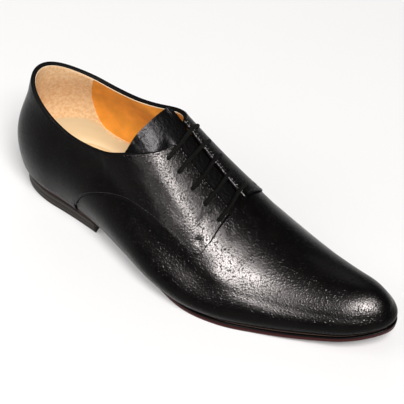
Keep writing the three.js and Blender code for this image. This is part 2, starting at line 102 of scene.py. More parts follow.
PLAN = {
    "at": (0, 0.08, 0.18, 0.28, 0.38, 0.48, 0.57, 0.66, 0.74, 0.82, 0.90, 1.0),
    "outer": (0.276, 0.292, 0.330, 0.385, 0.455, 0.525, 0.550, 0.505, 0.415, 0.328, 0.248, 0.163),
    "inner": (0.277, 0.295, 0.303, 0.300, 0.324, 0.394, 0.443, 0.433, 0.398, 0.337, 0.260, 0.180),
    "mid": (-0.060, -0.024, 0.004, 0.020, 0.024, 0.022, 0.022, 0.020, 0.022, 0.027, 0.036, 0.060),
    "lift": (1, 1, 0.97, 0.78, 0.46, 0.18, 0.02, 0, 0, 0, 0, 0),
    "crest": (1.6, 1.635, 1.565, 1.445, 1.24, 0.97, 0.745, 0.58, 0.49, 0.432, 0.384, 0.29),
    "full": (2.44, 2.48, 2.62, 2.6, 2.48, 2.36, 2.2, 2.1, 2.08, 2.1, 2.16, 2.18),
    "bulge": (0.049, 0.054, 0.060, 0.074, 0.084, 0.084, 0.069, 0.049, 0.035, 0.025, 0.020, 0.015),
    "tuck": (3.0, 3.0, 3.2, 4.2, 5.5, 4.5, 2.2, 1.2, 1.0, 1.0, 1.0, 1.0),
    "edge": (0.9, 0.9, 0.8, 0.8, 0.5, 1.5, 2.4, 2.4, 2.5, 2.8, 2.7, 2.6),
}
TOPLINE = {
    "at": (0, 0.08, 0.18, 0.28, 0.36, 0.40, 0.46),
    "outer": (1.29, 1.16, 1.035, 1.07, 1.195, 1.225, 1.25),
    "inner": (1.29, 1.12, 1.03, 1.085, 1.225, 1.3, 1.38),
}
SEAM = {
    "at": (0.214, 0.216, 0.226, 0.245, 0.272, 0.312, 0.358, 0.405, 0.45, 0.5, 0.545, 0.566, 0.578, 0.581),
    "height": (0, 0.2, 0.36, 0.51, 0.62, 0.71, 0.762, 0.772, 0.748, 0.685, 0.608, 0.585, 0.61, 0.66),
}


def curve(table, column, at):
    """Smooth curve through one column of a table."""
    xs = np.array(table["at"], float)
    ys = np.array(table[column], float)
    x = np.clip(np.asarray(at, float), xs[0], xs[-1])
    span = np.diff(xs)
    slope = np.diff(ys) / span
    tangent = np.empty(len(xs))
    tangent[0] = slope[0]
    tangent[-1] = slope[-1]
    tangent[1:-1] = (slope[:-1] * span[1:] + slope[1:] * span[:-1]) / (span[1:] + span[:-1])
    k = np.clip(np.searchsorted(xs, x, side="right") - 1, 0, len(xs) - 2)
    h = span[k]
    t = (x - xs[k]) / h
    start = (2 * t**3 - 3 * t**2 + 1) * ys[k]
    end = (3 * t**2 - 2 * t**3) * ys[k + 1]
    return start + end + h * ((t**3 - 2 * t**2 + t) * tangent[k] + (t**3 - t**2) * tangent[k + 1])


def ground(x):
    """Height of the sole's underside over the floor."""
    at = np.asarray(x, float) / LAST_LENGTH
    rise = np.clip((at - SPRING_START) / (1 - SPRING_START), 0, None) ** SPRING_POWER
    return np.clip(HEEL_LIFT * curve(PLAN, "lift", at), 0, None) + TOE_SPRING * rise


def ends(at):
    """The half width at the round heel and toe, as a share of the table's."""
    heel = np.sqrt(np.clip(1 - np.clip(1 - at / HEEL_ROUND, 0, 1) ** 2, 0, 1))
    v = np.clip((at - TOE_ROUND) / (1 - TOE_ROUND), 0, 1)
    return heel * np.clip(1 - v**TOE_POWER, 0, 1) ** (1 / TOE_POWER)


def soft_max(x, limit, softness=CREST_SOFTNESS):
    return (x + limit + np.hypot(x - limit, softness)) / 2


def soft_min(x, limit, softness=CREST_SOFTNESS):
    return (x + limit - np.hypot(x - limit, softness)) / 2


def side_share(table, at, side):
    return np.where(side < 0, curve(table, "outer", at), curve(table, "inner", at))


def last_point(at, turn, side):
    """Point of the last: at from heel to toe, turn from the sole (0) over the side to the crest (1)."""
    at, turn, side = (np.asarray(v, float) for v in np.broadcast_arrays(at, turn, side))
    side = np.where(turn > 1, -side, side)
    turn = np.clip(np.where(turn > 1, 2 - turn, turn), 0, 1)
    side = np.where((at < 0) | (at > 1), -side, side)
    at = np.where(at > 1, 2 - at, np.abs(at))
    half = side_share(PLAN, at, side) * BALL_WIDTH * ends(at)
    foot_x = at * LAST_LENGTH
    foot_y = curve(PLAN, "mid", at) * BALL_WIDTH + side * half
    top = soft_min(soft_max(at, CREST_BACK), CREST_FRONT)
    crest_x = top * LAST_LENGTH
    crest_y = curve(PLAN, "mid", top) * BALL_WIDTH
    crest_z = FEATHER + ground(crest_x) + INSTEP * curve(PLAN, "crest", top)
    out = np.stack([foot_x - crest_x, foot_y - crest_y], -1)
    out = out / (np.linalg.norm(out, axis=-1, keepdims=True) + 1e-9)
    power = curve(PLAN, "full", at)
    angle = turn * math.pi / 2
    inward = 1 - np.clip(np.cos(angle), 0, 1) ** (2 / power)
    upward = np.sin(angle) ** (2 / power)
    base = FEATHER + ground(foot_x)
    z = base + (crest_z - base) * upward
    up = np.clip(upward / SWELL_HEIGHT, 0, 1)
    swell = curve(PLAN, "bulge", at) * BALL_WIDTH * np.sin(math.pi * up) * (1 - up**SWELL_FADE)
    low = np.clip((z - base) / FEATHER_ROUND, 0, 1)
    tuck = curve(PLAN, "tuck", at) * (1 - np.sqrt(1 - (1 - low) ** 2))
    x = foot_x + (crest_x - foot_x) * inward + out[..., 0] * (swell - tuck)
    y = foot_y + (crest_y - foot_y) * inward + out[..., 1] * (swell - tuck)
    return np.stack([x, y, z], -1)


def last_normal(at, turn, side):
    step = 1e-4
    turn = np.clip(turn, 2e-4, None)
    along = last_point(at + step, turn, side) - last_point(at - step, turn, side)
    around = last_point(at, turn + step, side) - last_point(at, turn - step, side)
    normal = np.cross(along, around) * -np.asarray(side, float)[..., None]
    return normal / (np.linalg.norm(normal, axis=-1, keepdims=True) + 1e-12)


def on_last(at, turn, side, lift):
    """Points lifted off the last's surface."""
    at, turn, side, lift = np.broadcast_arrays(*(np.asarray(v, float) for v in (at, turn, side, lift)))
    return last_point(at, turn, side) + last_normal(at, turn, side) * lift[..., None]


def solve_turn(too_high, shape, low=0.0):
    """The turn at which too_high becomes true, by halving."""
    a = np.full(shape, low)
    b = np.ones(shape)
    for _ in range(HALVINGS):
        m = (a + b) / 2
        high = too_high(m)
        b = np.where(high, m, b)
        a = np.where(high, a, m)
    return (a + b) / 2


def turn_at_z(at, side, z):
    return solve_turn(lambda t: last_point(at, t, side)[..., 2] > z, np.shape(at))


def turn_at_off(at, side, off):
    """Where the surface is a plan distance off the crest line."""
    middle = last_point(at, 1.0, side)[..., 1]
    return solve_turn(lambda t: np.abs(last_point(at, t, side)[..., 1] - middle) < off, np.shape(at), 0.4)


def even_turns(at, side, low, high, count):
    """Rows between two turns, evenly spaced over the surface: an array of columns by rows."""
    t = np.linspace(0, 1, LENGTH_SAMPLES)
    turns = low[:, None] + (high - low)[:, None] * t
    points = last_point(at[:, None], turns, side[:, None])
    length = np.linalg.norm(np.diff(points, axis=1), axis=-1).cumsum(1)
    length = np.concatenate([np.zeros((len(at), 1)), length], 1)
    even = np.linspace(0, 1, count + 1)
    return np.stack([np.interp(even * length[i, -1], length[i], turns[i]) for i in range(len(at))])


def heel_places(count):
    """Places round the heel, evenly spaced in plan, from its back forwards."""
    return HEEL_ROUND * (1 - np.cos(np.linspace(0, math.pi / 2, count + 1)))


def toe_places(count):
    angle = np.linspace(0, math.pi / 2, count + 1)
    return TOE_ROUND + (1 - TOE_ROUND) * np.sin(angle) ** (2 / TOE_POWER)


def chain(*parts):
    """Rows of places joined end to end."""
    joined = [parts[0]]
    joined += [part[1:] for part in parts[1:]]
    return np.concatenate(joined)


def both_sides(places):
    """Places from the outer front round the heel to the inner front, with their sides."""
    at = np.concatenate([places[::-1], places[1:]])
    side = np.concatenate([np.full(len(places), OUTER), np.full(len(places) - 1, INNER)])
    return at, side.astype(float)


def topline_turn(at, side, below=0.0):
    """The upper's top edge: its topline, and in front the edges of the facings."""
    z = side_share(TOPLINE, at, side) * INSTEP - below
    rim = turn_at_z(at, side, z)
    facing = turn_at_off(at, side, HALF_THROAT + below)
    return np.where(at < THROAT_BACK, rim, soft_min(rim, facing, FACING_BLEND))


def seam_z(at):
    return curve(SEAM, "height", at) * INSTEP


# Shaping meshes


def sheet_mesh(name, points, uvs=None, keep=None, flip=False, closed=False, second=None):
    """A grid whose vertices are moved to an array of points (columns by rows). keep says which cells
    stay, and second says which of them get the second finish."""
    columns, rows = points.shape[0] - 1, points.shape[1] - 1
    bm = bmesh.new()
    bmesh.ops.create_grid(bm, x_segments=columns, y_segments=rows, size=1)
    cells = {}
    for v in bm.verts:
        cells[v] = (round((v.co.x + 1) / 2 * columns), round((v.co.y + 1) / 2 * rows))

    def cell(face):
        return min(cells[v][0] for v in face.verts), min(cells[v][1] for v in face.verts)

    if keep is not None:
        gone = [f for f in bm.faces if not keep[cell(f)]]
        bmesh.ops.delete(bm, geom=gone, context="FACES")
        cells = {v: c for v, c in cells.items() if v.is_valid}
    if uvs is not None:
        layer = bm.loops.layers.uv.new("UVMap")
        for f in bm.faces:
            for loop in f.loops:
                loop[layer].uv = uvs[cells[loop.vert]]
    if second is not None:
        for f in bm.faces:
            f.material_index = int(second[cell(f)])
    for v, c in cells.items():
        v.co = points[c]
    if flip:
        bmesh.ops.reverse_faces(bm, faces=bm.faces)
    bmesh.ops.remove_doubles(bm, verts=bm.verts, dist=1e-3)
    if closed:
        bmesh.ops.recalc_face_normals(bm, faces=bm.faces)
    return to_object(name, bm)


def to_object(name, bm):
    """The finished shape in the shoe's frame, in metres."""
    bm.transform(Matrix.Diagonal((MM, MM, MM, 1)) @ Matrix.Translation((HEEL_AT[0], HEEL_AT[1], 0)))
    for f in bm.faces:
        f.smooth = True
    mesh = bpy.data.meshes.new(name)
    bm.to_mesh(mesh)
    bm.free()
    piece = bpy.data.objects.new(name, mesh)
    bpy.context.scene.collection.objects.link(piece)
    return piece


def thicken(piece, thickness, round_edge, segments, rim=0):
    """Leather of a real thickness with rounded edges. rim is how many finishes on the edges' own lies."""
    solid = piece.modifiers.new("thickness", "SOLIDIFY")
    solid.thickness = thickness * MM
    solid.offset = -1.0
    solid.use_even_offset = False
    solid.material_offset_rim = rim
    bevel = piece.modifiers.new("edge", "BEVEL")
    bevel.width = round_edge * MM
    bevel.segments = segments
    bevel.limit_method = "ANGLE"
    bevel.angle_limit = math.radians(50)
    bevel.profile = 0.5


def dress(piece, slot, *finishes, stands_for=()):
    for finish in finishes:
        piece.data.materials.append(finish)
    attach(piece, "root")
    if stands_for:
        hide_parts(*stands_for)
    return piece


def lengths_uv(points):
    """Lengths over the sheet in metres, as its own coordinates."""
    along = np.linalg.norm(np.diff(points, axis=0), axis=-1).cumsum(0)
    along = np.concatenate([np.zeros((1, points.shape[1])), along])
    across = np.linalg.norm(np.diff(points, axis=1), axis=-1).cumsum(1)
    across = np.concatenate([np.zeros((points.shape[0], 1)), across], 1)
    return np.stack([along, across], -1) * MM


def round_path(points, step=0.5, soften=3):
    """The same path with close, even points and softened corners."""
    length = np.concatenate([[0], np.linalg.norm(np.diff(points, axis=0), axis=1).cumsum()])
    count = int(length[-1] / step)
    even = np.linspace(0, length[-1], count + 1)
    path = np.stack([np.interp(even, length, points[:, k]) for k in range(3)], 1)
    for _ in range(soften):
        path[1:-1] = (path[:-2] + 2 * path[1:-1] + path[2:]) / 4
    return path


def tube(name, path, radius, around=12):
    """A round cord along a path, closed at both ends."""
    tangent = np.gradient(path, axis=0)
    tangent /= np.linalg.norm(tangent, axis=1, keepdims=True)
    side = np.cross(tangent[0], (0, 0, 1.0))
    side /= np.linalg.norm(side)
    frames = []
    for t in tangent:
        side = side - t * side.dot(t)
        side /= np.linalg.norm(side)
        frames.append((side, np.cross(t, side)))
    angle = np.linspace(0, 2 * math.pi, around + 1)
    rings = []
    for centre, (a, b) in zip(path, frames):
        rings.append(centre + radius * (np.cos(angle)[:, None] * a + np.sin(angle)[:, None] * b))
    rings = [np.repeat(path[:1], around + 1, 0)] + rings + [np.repeat(path[-1:], around + 1, 0)]
    points = np.stack(rings)
    return sheet_mesh(name, points, uvs=lengths_uv(points), closed=True)


def stitches(name, rows, pitch=2.5, long=1.6, wide=0.45, high=0.3):
    """Rows of thread stitches: each row is a path and the surface's normals along it."""
    bm = bmesh.new()
    for path, normals in rows:
        length = np.concatenate([[0], np.linalg.norm(np.diff(path, axis=0), axis=1).cumsum()])
        count = max(1, int(length[-1] / pitch))
        at = (np.arange(count) + 0.5) * length[-1] / count
        for s0 in at:
            here, ahead = (
                np.array([np.interp(s0 + d, length, path[:, k]) for k in range(3)]) for d in (-0.1, 0.1)
            )
            up = np.array([np.interp(s0, length, normals[:, k]) for k in range(3)])
            along = Vector(ahead - here).normalized()
            up = Vector(up)
            up = (up - along * up.dot(along)).normalized()
            turned = Matrix((along, up.cross(along), up)).transposed().to_4x4()
            size = Matrix.Diagonal((long / 2, wide / 2, high, 1))
            place = Matrix.Translation(Vector((here + ahead) / 2)) @ turned @ size
            bmesh.ops.create_uvsphere(bm, u_segments=8, v_segments=5, radius=1, matrix=place)
    return to_object(name, bm)


# Camera


def place_camera():
    data = bpy.data.cameras.new("camera")
    data.sensor_width = SENSOR
    data.lens = FOCAL_PIXELS / PHOTO_SIDE * SENSOR
    data.clip_end = 20
    azimuth, elevation, roll = (math.radians(v) for v in (VIEW_AZIMUTH, VIEW_ELEVATION, VIEW_ROLL))
    back = Vector(
        (
            math.sin(azimuth) * math.cos(elevation),
            -math.cos(azimuth) * math.cos(elevation),
            math.sin(elevation),
        )
    )
    right = Vector((math.cos(azimuth), math.sin(azimuth), 0))
    up = back.cross(right)
    across = math.cos(roll) * right + math.sin(roll) * up
    upward = -math.sin(roll) * right + math.cos(roll) * up
    turned = Matrix((across, upward, back)).transposed()
    camera = bpy.data.objects.new("camera", data)
    camera.matrix_world = Matrix.Translation((Vector(AIM) + back * VIEW_DISTANCE) * MM) @ turned.to_4x4()
    bpy.context.scene.collection.objects.link(camera)
    bpy.context.scene.camera = camera


place_camera()

# Finishes


class Value:
    """A shader socket that takes part in sums."""

    def __init__(self, finish, socket):
        self.finish = finish
        self.socket = socket

    def _sum(self, operation, first, second):
        return self.finish.node("ShaderNodeMath", {"operation": operation}, {0: first, 1: second})

    def __add__(self, other):
        return self._sum("ADD", self, other)

    def __rsub__(self, other):
        return self._sum("SUBTRACT", other, self)

    def __mul__(self, other):
        return self._sum("MULTIPLY", self, other)

    def __pow__(self, other):
        return self._sum("POWER", self, other)

    def sine(self):
        return self.finish.node("ShaderNodeMath", {"operation": "SINE"}, {0: self})

    def ramp(self, low, high, start=0.0, end=1.0):
        """A soft step from start to end as the value goes from low to high."""
        settings = {"interpolation_type": "SMOOTHSTEP"}
        sockets = {"Value": self, "From Min": low, "From Max": high, "To Min": start, "To Max": end}
        return self.finish.node("ShaderNodeMapRange", settings, sockets)


class Finish:
    """One material of the shoe."""

    def __init__(self, name, roughness, specular=0.5):
        self.material = bpy.data.materials.new(name)
        self.material.use_nodes = True
        self.tree = self.material.node_tree
        self.tree.nodes.clear()
        self.shader = self.tree.nodes.new("ShaderNodeBsdfPrincipled")
        output = self.tree.nodes.new("ShaderNodeOutputMaterial")
        self.tree.links.new(self.shader.outputs[0], output.inputs[0])
        self.set("Roughness", roughness)
        self.set("Specular IOR Level", specular)

    def node(self, kind, settings=None, sockets=None, output=0):
        made = self.tree.nodes.new(kind)
        for key, value in (settings or {}).items():
            setattr(made, key, value)
        for key, value in (sockets or {}).items():
            self._put(made.inputs[key], value)
        return Value(self, made.outputs[output])

    def _put(self, socket, value):
        if isinstance(value, Value):
            self.tree.links.new(value.socket, socket)
        elif isinstance(value, tuple) and socket.type == "RGBA":
            socket.default_value = (*value, 1)
        else:
            socket.default_value = value

    def set(self, name, value):
        self._put(self.shader.inputs[name], value)

    def place(self, kind="Object"):
        return self.node("ShaderNodeTexCoord", output=kind)

    def parts(self, place):
        """The three parts of a place."""
        split = self.tree.nodes.new("ShaderNodeSeparateXYZ")
        self._put(split.inputs[0], place)
        return [Value(self, split.outputs[k]) for k in range(3)]

    def noise(self, size, detail, roughness=0.5):
        """Smooth noise whose features are about size millimetres wide."""
        sockets = {"Vector": self.place(), "Scale": 1 / (size * MM)}
        sockets.update({"Detail": detail, "Roughness": roughness})
        return self.node("ShaderNodeTexNoise", {}, sockets)

    def cells(self, size):
        """Distance to the middle of the nearest of many cells, about size millimetres apart."""
        sockets = {"Vector": self.place(), "Scale": 1 / (size * MM)}
        return self.node("ShaderNodeTexVoronoi", {"feature": "F1"}, sockets, output="Distance")

    def mix(self, share, first, second):
        made = self.tree.nodes.new("ShaderNodeMix")
        made.data_type = "RGBA"
        self._put(made.inputs["Factor"], share)
        self._put(made.inputs[6], first)
        self._put(made.inputs[7], second)
        return Value(self, made.outputs[2])

    def bump(self, height, depth):
        """Relief of depth millimetres."""
        sockets = {"Height": height, "Distance": depth * MM, "Strength": 1.0}
        return self.node("ShaderNodeBump", {}, sockets)


DEEP_BLACK = (0.0010, 0.0008, 0.0008)
SOFT_BLACK = (0.0018, 0.0015, 0.0014)


def black_calf_finish():
    """Polished calf with a pebbled grain, which is deepest over the instep."""
    calf = Finish("polished_black_calf", 0.3, specular=0.06)
    calf.set("Specular Tint", (1, 0.97, 0.94))
    pebble = calf.cells(1.05)
    fine = calf.noise(0.65, 2.0, 0.6)
    cloud = calf.noise(14, 2.0)
    calf.set("Base Color", calf.mix(cloud.ramp(0.35, 0.7), DEEP_BLACK, SOFT_BLACK))
    calf.set("Roughness", cloud.ramp(0.2, 0.8, 0.23, 0.26) + fine * 0.05)
    along, _, _ = calf.parts(calf.place())
    coarse = along.ramp(-0.06, -0.03) * (1 - along.ramp(0.0, 0.03))
    calf.set("Normal", calf.bump((pebble**4 + fine * 0.25) * (coarse * 0.6 + 1.0), 0.15))
    return calf.material


def plain_finish(name, colour, roughness, grain, depth, specular=0.4):
    """One colour with a little cloud and a grain. grain and depth are millimetres."""
    leather = Finish(name, roughness, specular=specular)
    fine = leather.noise(grain, 3.0, 0.6)
    cloud = leather.noise(11, 3.0)
    dark = tuple(0.82 * c for c in colour)
    light = tuple(min(1, 1.12 * c) for c in colour)
    leather.set("Base Color", leather.mix(cloud.ramp(0.3, 0.7) * 0.7 + fine * 0.3, dark, light))
    leather.set("Normal", leather.bump(fine, depth))
    return leather.material


def cord_finish():
    """Round waxed cord whose strands run round it in a low spiral."""
    cord = Finish("waxed_cord", 0.6, specular=0.07)
    along, around, _ = cord.parts(cord.place("UV"))
    strand = (along * (math.pi / (CORD_PITCH * MM)) + around * (2 / (LACE * MM))).sine()
    fuzz = cord.noise(0.3, 2.0)
    cord.set("Base Color", cord.mix(fuzz, (0.0025, 0.0025, 0.0022), (0.007, 0.0068, 0.006)))
    cord.set("Normal", cord.bump(strand * strand + fuzz * 0.3, 0.16))
    return cord.material


def sole_finish():
    """Waxed edge: black along the top, oxblood below."""
    edge = Finish("oxblood_sole", 0.4, specular=0.12)
    _, height, _ = edge.parts(edge.place("UV"))
    fine = edge.noise(0.8, 3.0, 0.6)
    lower = (height + fine * 0.08).ramp(0.84, 0.92)
    edge.set("Base Color", edge.mix(lower, (0.034, 0.0030, 0.0026), (0.0016, 0.0013, 0.0013)))
    edge.set("Normal", edge.bump(fine, 0.05))
    return edge.material


def heel_finish():
    """Dark stained lifts with fine level lines."""
    stack = Finish("heel_lifts", 0.5, specular=0.25)
    _, height, _ = stack.parts(stack.place("UV"))
    line = (height * (math.pi / (LIFT * MM))).sine()
    line = line * line
    fine = stack.noise(0.7, 3.0, 0.6)
    share = line.ramp(0.0, 0.16) * 0.8 + fine * 0.2
    stack.set("Base Color", stack.mix(share, (0.008, 0.006, 0.005), (0.023, 0.017, 0.013)))
    stack.set("Normal", stack.bump(line.ramp(0.0, 0.2) + fine * 0.3, 0.12))
    return stack.material


def tongue_finish():
    """Softer, duller calf with small crinkles."""
    calf = Finish("dull_black_calf", 0.38, specular=0.04)
    fine = calf.noise(0.7, 2.0, 0.6)
    crinkle = calf.noise(2.3, 2.0, 0.5)
    calf.set("Base Color", calf.mix(fine, DEEP_BLACK, SOFT_BLACK))
    calf.set("Normal", calf.bump(crinkle + fine * 0.3, 0.4))
    return calf.material


def suede_finish():
    """Brushed suede in light and dark patches, worn smooth and pale low down by the sock."""
    suede = Finish("counter_suede", 0.95, specular=0.1)
    nap = suede.noise(0.7, 4.0, 0.7)
    patch = suede.noise(2.6, 4.0, 0.7)
    share = patch.ramp(0.3, 0.7) * 0.6 + nap.ramp(0.25, 0.75) * 0.4
    napped = suede.mix(share, (0.76, 0.43, 0.18), (1.0, 0.80, 0.51))
    along, _, height = suede.parts(suede.place())
    raised = height * (1 / MM) + along.ramp(-0.121, -0.094, 0.0, WORN_FALL)
    worn = raised.ramp(WORN_TOP - 2, WORN_TOP + 2)
    suede.set("Base Color", suede.mix(worn, (0.70, 0.57, 0.36), napped))
    suede.set("Normal", suede.bump(nap * worn, 0.2))
    return suede.material


BLACK_CALF = black_calf_finish()
TONGUE_CALF = tongue_finish()
TAN_LINING = plain_finish("tan_lining", (0.89, 0.35, 0.045), 0.55, 0.5, 0.05, specular=0.2)
SUEDE = suede_finish()
SOCK = plain_finish("cream_sock", (0.80, 0.63, 0.38), 0.62, 0.6, 0.04, specular=0.2)
CREAM_EDGE = plain_finish("cream_edge", (0.80, 0.62, 0.42), 0.6, 0.5, 0.04)
SOLE_EDGE = sole_finish()
HEEL_EDGE = heel_finish()
HEEL_RUBBER = plain_finish("heel_rubber", (0.020, 0.015, 0.012), 0.7, 0.8, 0.08, specular=0.2)
# painted highlight: the tan colour of the cord that stands for the light line between upper and sole
WELT_HIGHLIGHT_PAINT = plain_finish("welt_line", (0.10, 0.06, 0.045), 0.5, 0.5, 0.05, specular=0.3)
CORD = cord_finish()
THREAD = plain_finish("black_thread", (0.006, 0.0055, 0.0055), 0.3, 0.3, 0.05, specular=0.2)
# dull black for the quarters' cut edges, and for the beads that paint the shadow line along the seam and
# the front edge
CUT_EDGE_AND_SHADOW = plain_finish("dyed_cut_edge_and_painted_shadow", (0.0012, 0.0011, 0.0011), 0.7, 0.4, 0.05, specular=0.02)

# Upper


def crease(points, normals, lines):
    """Soft troughs (or ridges, with a negative depth) along given lines on the leather. Each line
    has a depth and a half width in millimetres, and its points as at, turn and side."""
    moved = np.zeros(points.shape[:-1])
    for depth, width, line in lines:
        line = np.array([on_last(at, turn, float(side), 0.0) for at, turn, side in line])
        nearest = np.full(points.shape[:-1], 1e9)
        for start, end in zip(line[:-1], line[1:]):
            run = end - start
            t = np.clip(((points - start) @ run) / run.dot(run), 0, 1)
            nearest = np.minimum(nearest, np.linalg.norm(points - start - t[..., None] * run, axis=-1))
        moved -= depth * np.exp(-((nearest / width) ** 2))
    return points + normals * moved[..., None]


RIM_ROUND = 1.55
RIM_MIDDLE = (LAYER - WALL) / 2
RIM_FLAT = 0.8
TURN_IN = 2.2
SMALL_TURN = 2e-3


def turned_edge(at, side, top):
    """Rows that carry the leather over the rim and a little way down inside."""
    rows = []
    point = last_point(at, top, side)
    normal = last_normal(at, top, side)
    up = point - last_point(at, top - SMALL_TURN, side)
    up /= np.linalg.norm(up, axis=-1, keepdims=True) + 1e-9
    for angle in np.linspace(0, math.pi, 11)[1:]:
        out = RIM_MIDDLE + RIM_ROUND * math.cos(angle)
        rise = RIM_ROUND * RIM_FLAT * (math.sin(angle) - 1)
        rows.append(point + normal * out + up * rise)
    for share in (0.5, 1.0):
        rows.append(point - normal * WALL - up * (RIM_ROUND * RIM_FLAT + share * TURN_IN))
    return np.stack(rows, 1)


def rim_shift(at, side, top, drop):
    """The turn that lies drop millimetres below another on the surface."""
    moved = last_point(at, top, side) - last_point(at, top - SMALL_TURN, side)
    pace = np.linalg.norm(moved, axis=-1) / SMALL_TURN
    return top - drop / (pace + 1e-9)


QUARTER_CREASES = (
    (0.7, 2.4, ((0.5600, 0.560, OUTER), (0.5605, 0.552, OUTER))),
    (0.28, 2.2, ((0.262, 0.40, OUTER), (0.290, 0.30, OUTER), (0.306, 0.20, OUTER))),
    (-0.18, 3.0, ((0.285, 0.40, OUTER), (0.305, 0.30, OUTER))),
    (0.30, 2.6, ((0.556, 0.80, OUTER), (0.545, 0.72, OUTER), (0.548, 0.66, OUTER))),
    (0.25, 3.0, ((0.380, 0.50, OUTER), (0.440, 0.56, OUTER), (0.500, 0.56, OUTER))),
    (0.22, 3.0, ((0.300, 0.42, INNER), (0.320, 0.30, INNER))),
    (0.22, 3.4, ((0.400, 0.50, INNER), (0.480, 0.52, INNER))),
)
# The line of the forepart's fuller outer side, as at and turn
FULL_SIDE = (
    (0.62, 0.38),
    (0.68, 0.31),
    (0.76, 0.27),
    (0.84, 0.26),
    (0.90, 0.26),
    (0.95, 0.27),
    (0.985, 0.30),
)
VAMP_CREASES = (
    (-1.5, 8.0, tuple((at, turn, OUTER) for at, turn in FULL_SIDE)),
    (0.30, 1.3, ((0.598, 0.84, OUTER), (0.612, 0.76, OUTER))),
    (0.35, 0.9, ((0.584, 0.95, OUTER), (0.584, 0.80, OUTER), (0.584, 0.62, OUTER), (0.582, 0.55, OUTER))),
    (0.35, 0.9, ((0.584, 0.95, INNER), (0.584, 0.80, INNER), (0.584, 0.62, INNER), (0.582, 0.55, INNER))),
    (0.22, 3.5, ((0.620, 0.98, OUTER), (0.615, 0.80, OUTER), (0.600, 0.62, OUTER), (0.575, 0.45, OUTER))),
    (0.20, 4.0, ((0.655, 0.98, INNER), (0.650, 0.80, INNER), (0.640, 0.60, INNER), (0.615, 0.42, INNER))),
    (0.18, 4.0, ((0.665, 0.95, OUTER), (0.655, 0.70, OUTER), (0.640, 0.50, OUTER))),
)


SEAM_START = 0.214
QUARTER_ROWS = 60
RIM_FRONT = 0.4


def make_quarters():
    """Both quarters in one sheet, from the outer facing's front edge round the heel to the inner one's."""
    places = chain(
        heel_places(26),
        np.linspace(HEEL_ROUND, SEAM_START, 16),
        SEAM_START + (0.232 - SEAM_START) * np.linspace(0, 1, 20) ** 2,
        np.linspace(0.232, 0.40, 42),
        np.linspace(0.40, 0.44, 20),
        np.linspace(0.44, 0.545, 28),
        np.linspace(0.545, QUARTER_FRONT, 16),
    )
    at, side = both_sides(places)
    low = np.where(at <= SEAM_START, 0.0, turn_at_z(at, side, seam_z(at)))
    top = topline_turn(at, side)
    high = rim_shift(at, side, top, RIM_ROUND * RIM_FLAT)
    turns = even_turns(at, side, low, high, QUARTER_ROWS)
    points = on_last(at[:, None], turns, side[:, None], LAYER)
    normals = last_normal(at[:, None], turns, side[:, None] + 0 * turns)
    points = crease(points, normals, QUARTER_CREASES)
    points = np.concatenate([points, turned_edge(at, side, top)], 1)
    rim = (at[:-1, None] < RIM_FRONT) & (np.arange(points.shape[1] - 1)[None] >= QUARTER_ROWS + 2)
    piece = sheet_mesh("quarters", points, flip=True, second=rim)
    thicken(piece, 1.05, 0.2, 2, rim=1)
    return dress(piece, "black_calf", BLACK_CALF, CUT_EDGE_AND_SHADOW, CUT_EDGE_AND_SHADOW, stands_for=("upper",))


WING_FRONT = 0.545
WING_UNDER = 7
WING_ROWS = 34
CREST_ROWS = 22


def vamp_grid(places, lift, creases=()):
    """Columns across the forepart from the outer feather over the crest to the inner one."""
    rows = []
    for side_value in (OUTER, INNER):
        side = np.full(len(places), float(side_value))
        hidden = turn_at_z(places, side, seam_z(np.minimum(places, WING_FRONT)) + WING_UNDER)
        held = np.interp(WING_FRONT, places, hidden)
        wing = np.where(places < WING_FRONT, hidden, held)
        lower = even_turns(places, side, np.zeros(len(places)), wing, WING_ROWS)
        upper = even_turns(places, side, wing, np.ones(len(places)), CREST_ROWS)
        turns = np.concatenate([lower, upper[:, 1:]], 1)
        points = on_last(places[:, None], turns, side[:, None], lift)
        normals = last_normal(places[:, None], turns, side[:, None] + 0 * turns)
        rows.append(crease(points, normals, creases))
    return np.concatenate([rows[0], rows[1][:, ::-1][:, 1:]], 1)


def make_vamp():
    """The front of the upper, with wings that run back under the quarters."""
    places = chain(
        np.linspace(0.2, VAMP_BACK, 60),
        np.linspace(VAMP_BACK, TOE_ROUND, 60),
        toe_places(30),
    )
    points = vamp_grid(places, 0.0, creases=VAMP_CREASES)
    columns, rows = points.shape[0] - 1, points.shape[1] - 1
    keep = np.ones((columns, rows), bool)
    keep[: np.searchsorted(places, VAMP_BACK - 1e-6), WING_ROWS : rows - WING_ROWS] = False
    piece = sheet_mesh("vamp", points, keep=keep)
    thicken(piece, 1.0, 0.3, 2)
    return dress(piece, "black_calf", BLACK_CALF)


def rim_drop(at, side, drop):
    return rim_shift(at, side, topline_turn(at, side), drop)


# How far below the upper's edge the lining stops
LINING_TOP = 1.8


def make_lining():
    """Orange lining of the quarters, its pale cut edge, and the lining of the vamp."""
    places = chain(
        heel_places(20),
        np.linspace(HEEL_ROUND, 0.40, 50),
        np.linspace(0.40, 0.44, 16),
        np.linspace(0.44, 0.60, 30),
    )
    at, side = both_sides(places)
    low = np.zeros(len(at))
    high = rim_drop(at, side, LINING_TOP)
    turns = even_turns(at, side, low, high, 44)
    points = on_last(at[:, None], turns, side[:, None], -WALL - 0.15)
    piece = sheet_mesh("quarter_lining", points)
    thicken(piece, 0.35, 0.1, 2)
    dress(piece, None, TAN_LINING)

    path = on_last(at, rim_drop(at, side, LINING_TOP), side, -WALL)
    inside = at <= 0.47
    piece = tube("lining_edge", path[inside], 0.38, 8)
    dress(piece, "cream_leather", CREAM_EDGE)

    places = chain(np.linspace(VAMP_BACK + 0.01, TOE_ROUND, 40), toe_places(20))
    points = vamp_grid(places, -WALL)
    piece = sheet_mesh("vamp_lining", points, flip=True)
    thicken(piece, 0.8, 0.25, 2)
    return dress(piece, None, TAN_LINING)


